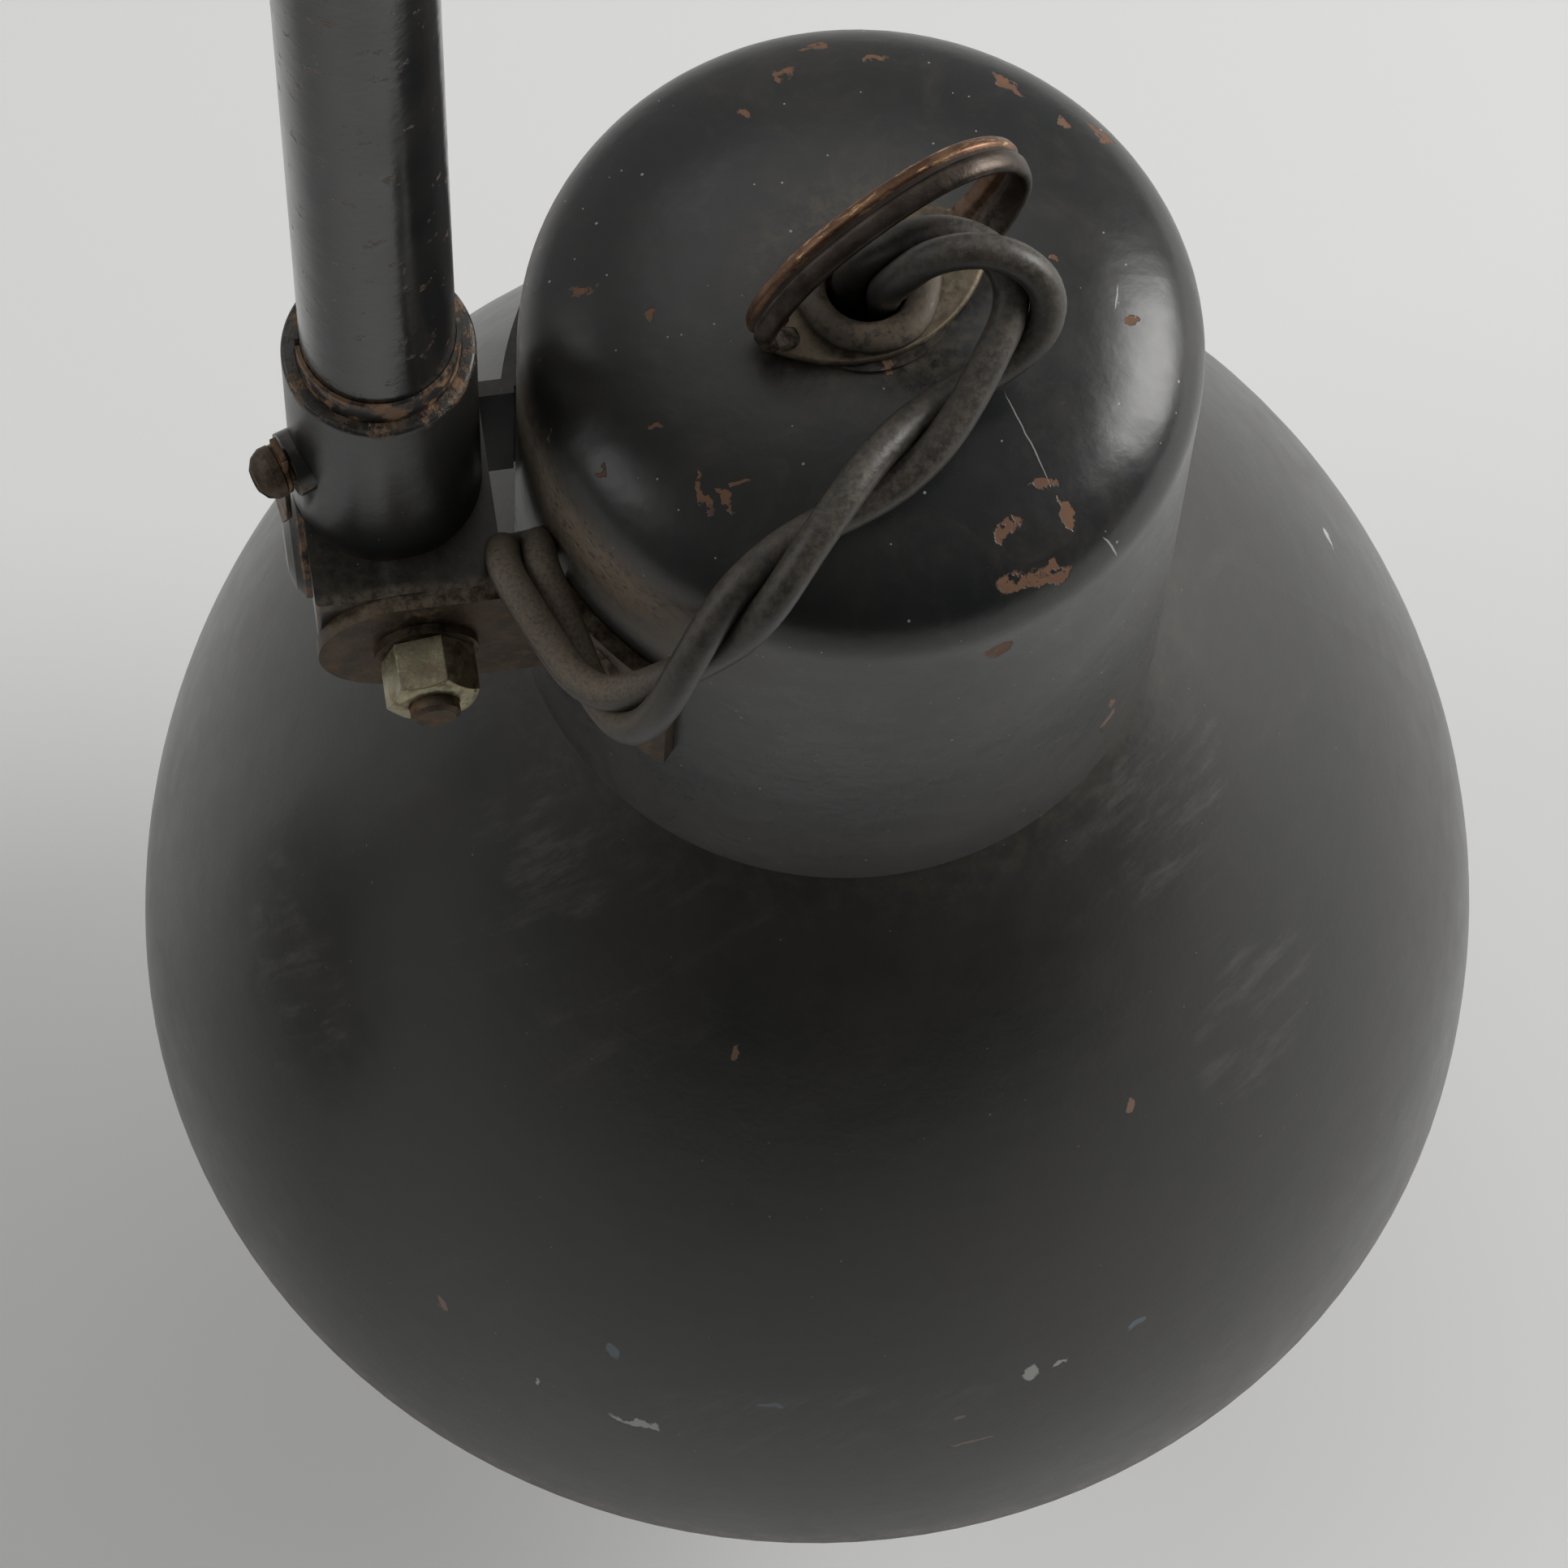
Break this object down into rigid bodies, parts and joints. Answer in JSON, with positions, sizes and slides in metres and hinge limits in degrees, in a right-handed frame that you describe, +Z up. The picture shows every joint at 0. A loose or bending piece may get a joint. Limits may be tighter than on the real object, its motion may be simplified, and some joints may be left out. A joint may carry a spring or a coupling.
{
  "type": "architect desk lamp",
  "caption": "Black enamelled architect lamp: bell shade on a tilting yoke, turning collar, hinged tubular arms and a round cast base.",
  "frame": {"origin": "centre of the base's underside, on the desk", "axes": "+Z up along the post; +X from the post towards the head, in the plane of the arms; +Y completes the right hand"},
  "size_m": [0.6065, 0.22, 0.5557],
  "materials": {
    "black_enamel": "worn semi-matt black enamel",
    "aged_brass": "darkened, worn bright on the edges",
    "zinc_steel": "yellowed zinc plate with light rust",
    "black_rubber": "old smooth rubber, dusty",
    "felt": "pressed felt",
    "black_bakelite": "moulded",
    "porcelain": "glazed",
    "bulb_metal": "rolled thread",
    "bulb_glass": "frosted"
  },
  "bodies": {
    "base": {"base_casting": "black_enamel", "base_plate": "zinc_steel", "base_felt": "felt", "base_plate_screws": "zinc_steel", "cable_gland": "black_rubber", "post_lock_screw": "zinc_steel", "switch_body": "black_bakelite", "switch_nut": "zinc_steel"},
    "switch_lever": {"switch_lever": "zinc_steel"},
    "post": {"post_tube": "black_enamel", "post_fork": "black_enamel", "shoulder_bolt": "zinc_steel", "shoulder_nut": "zinc_steel", "shoulder_washers": "zinc_steel"},
    "lower_arm": {"shoulder_bracket": "black_enamel", "shoulder_lock_screw": "zinc_steel", "lower_tube": "black_enamel", "elbow_fork": "black_enamel", "elbow_bolt": "zinc_steel", "elbow_nut": "zinc_steel", "elbow_washers": "zinc_steel"},
    "upper_arm": {"elbow_bracket": "black_enamel", "elbow_lock_screw": "zinc_steel", "upper_tube": "black_enamel", "tube_bush": "aged_brass"},
    "head_mount": {"head_bracket": "black_enamel", "head_lock_screw": "zinc_steel", "lock_leaf": "black_enamel", "bracket_plug": "black_enamel", "pivot_bolt": "zinc_steel", "pivot_nut": "zinc_steel", "pivot_washers": "zinc_steel", "flex_tail": "black_rubber"},
    "shade": {"shade_cap": "black_enamel", "shade_bell": "black_enamel", "yoke_front": "black_enamel", "yoke_rear": "black_enamel", "yoke_rivets": "black_enamel", "hanger": "aged_brass", "grommet": "black_rubber", "nipple": "aged_brass", "nipple_locknut": "aged_brass", "holder_cover": "aged_brass", "holder_shell": "aged_brass", "holder_insert": "porcelain", "holder_contact": "aged_brass", "bulb_cap": "bulb_metal", "bulb_glass": "bulb_glass", "flex": "black_rubber"}
  },
  "joints": [
    {"name": "base_swivel", "type": "hinge", "parent": "base", "child": "post", "pos_m": [0, 0, 0.046], "axis": [0, 0, 1], "range_deg": [-170, 170]},
    {"name": "shoulder", "type": "hinge", "parent": "post", "child": "lower_arm", "pos_m": [0, 0, 0.15], "axis": [0, 1, 0], "range_deg": [-56, 18]},
    {"name": "elbow", "type": "hinge", "parent": "lower_arm", "child": "upper_arm", "pos_m": [0.35, 0, 0.545], "axis": [0, -1, 0], "range_deg": [-4, 138]},
    {"name": "head_swivel", "type": "hinge", "parent": "upper_arm", "child": "head_mount", "pos_m": [0.35, 0, 0.285], "axis": [0, 0, 1], "range_deg": [-170, 170]},
    {"name": "head_tilt", "type": "hinge", "parent": "head_mount", "child": "shade", "pos_m": [0.352, 0, 0.2382], "axis": [0, 1, 0], "range_deg": [-5, 95]},
    {"name": "switch_throw", "type": "hinge", "parent": "base", "child": "switch_lever", "pos_m": [0, -0.062, 0.0214], "axis": [-1, 0, 0], "range_deg": [0, 22]}
  ]
}
